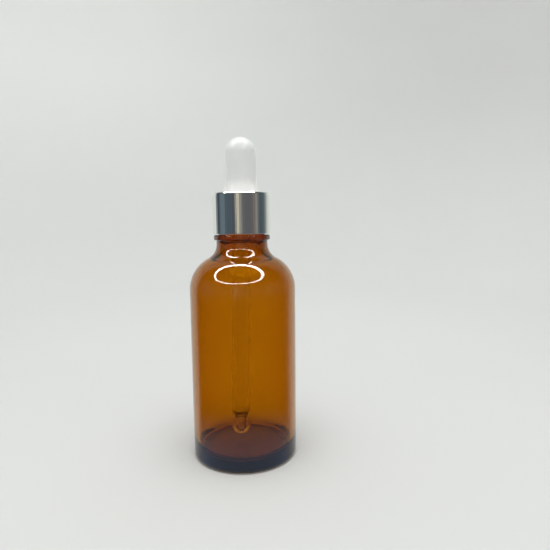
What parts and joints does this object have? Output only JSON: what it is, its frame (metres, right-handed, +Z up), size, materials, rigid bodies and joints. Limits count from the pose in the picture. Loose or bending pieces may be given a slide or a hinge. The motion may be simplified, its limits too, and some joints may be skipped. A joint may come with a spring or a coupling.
{
  "type": "dropper bottle",
  "caption": "Round glass dropper bottle with a screw closure: threaded cap in a metal shell, squeeze bulb and a glass pipette that reaches the floor.",
  "frame": {"origin": "on the bottle's axis, at the height of the surface that it stands on", "axes": "+Z up along the bottle's axis, from the base to the bulb; +X and +Y are any two directions across it, since the object is round"},
  "size_m": [0.0372, 0.0372, 0.112],
  "materials": {
    "amber_glass": "smooth moulded amber glass",
    "cap_plastic": "plain moulded white plastic",
    "shell_metal": "polished, with fine drawn lines along the axis",
    "bulb_silicone": "smooth white silicone rubber, soft sheen",
    "clear_glass": "fire-polished clear glass"
  },
  "bodies": {
    "bottle": {"bottle": "amber_glass"},
    "dropper": {"bulb": "bulb_silicone", "pipette": "clear_glass"},
    "cap": {"inner_cap": "cap_plastic", "overshell": "shell_metal"}
  },
  "joints": [
    {"name": "dropper_lift", "type": "slide", "parent": "bottle", "child": "dropper", "axis": [0, 0, 1], "range_m": [0, 0.087]},
    {"name": "cap_turn", "type": "hinge", "parent": "dropper", "child": "cap", "pos_m": [0, 0, 0.086], "axis": [0, 0, 1], "range_deg": [0, 10440]}
  ],
  "couplings": [
    {"joint": "dropper_lift", "follows": "cap_turn", "m_per_rad": 0.00047746}
  ]
}
